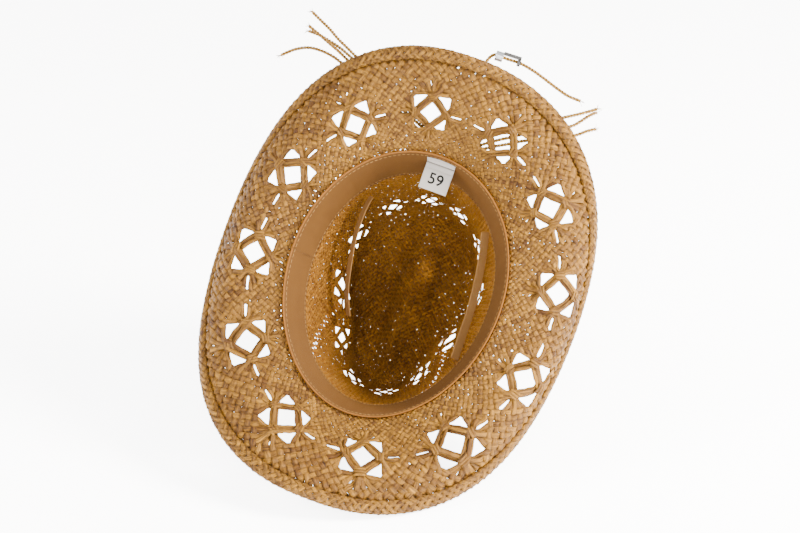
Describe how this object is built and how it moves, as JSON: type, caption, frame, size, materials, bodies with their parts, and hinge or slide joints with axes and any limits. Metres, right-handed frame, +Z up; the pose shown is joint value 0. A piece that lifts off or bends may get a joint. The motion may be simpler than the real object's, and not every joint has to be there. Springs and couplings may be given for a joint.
{
  "type": "openwork straw western hat",
  "caption": "Hand-woven openwork straw hat with a rolled brim, creased crown, inner sweatband, size label and a corded hatband with loose ends.",
  "frame": {"origin": "centre of the head opening at the foot of the crown, where the hat sits on a head", "axes": "+Z up through the crown, +Y towards the back of the hat, +X towards the wearer's left when the hat is worn facing -Y"},
  "size_m": [0.2936, 0.3738, 0.1551],
  "materials": {
    "straw": "golden tan twisted straw strip, satin sheen",
    "cord_straw": "two-ply twisted straw cord, satin",
    "wire": "plain drawn wire",
    "thread": "brown sewing thread",
    "band_cloth": "mid-brown fine twill",
    "piping_cloth": "light brown piping",
    "strap_cloth": "brown woven tape",
    "label_cloth": "white-grey satin tape",
    "bead": "dull grey bead",
    "charm_steel": "worn bright steel",
    "charm_dark": "dark oxidised steel"
  },
  "bodies": {
    "hat": {"crown_tip": "straw", "crown_openwork": "straw", "crown_wall": "straw", "brim_inner_weave": "straw", "brim_openwork": "straw", "brim_outer_weave": "straw", "brim_hem": "straw", "brim_wire": "wire", "hem_thread": "thread", "sweatband": "band_cloth", "sweatband_piping": "piping_cloth", "band_thread_lower": "thread", "band_thread_upper": "thread", "label_thread": "label_cloth", "fit_strap_left": "strap_cloth", "fit_strap_right": "strap_cloth", "hatband_cord_lower": "cord_straw", "hatband_cord_upper": "cord_straw", "hatband_knot": "cord_straw", "hatband_bead": "bead", "tail_a": "cord_straw", "tail_b": "cord_straw", "tail_c": "cord_straw", "tail_d_cord": "cord_straw", "tail_e": "cord_straw", "tail_f": "cord_straw", "tail_g": "cord_straw", "tail_h": "cord_straw"},
    "label": {"size_label": "label_cloth"},
    "charm": {"charm_tube": "charm_steel", "charm_bar": "charm_dark"}
  },
  "joints": [
    {"name": "label_flap", "type": "hinge", "parent": "hat", "child": "label", "pos_m": [0, 0.0997, 0.008], "axis": [1, 0, 0], "range_deg": [-45, 60], "stiffness_Nm_per_rad": 0.002},
    {"name": "charm_turn", "type": "hinge", "parent": "hat", "child": "charm", "pos_m": [-0.024, 0.191, -0.024], "axis": [-0.9863, 0.0517, 0.1564], "range_deg": [-60, 60]}
  ]
}
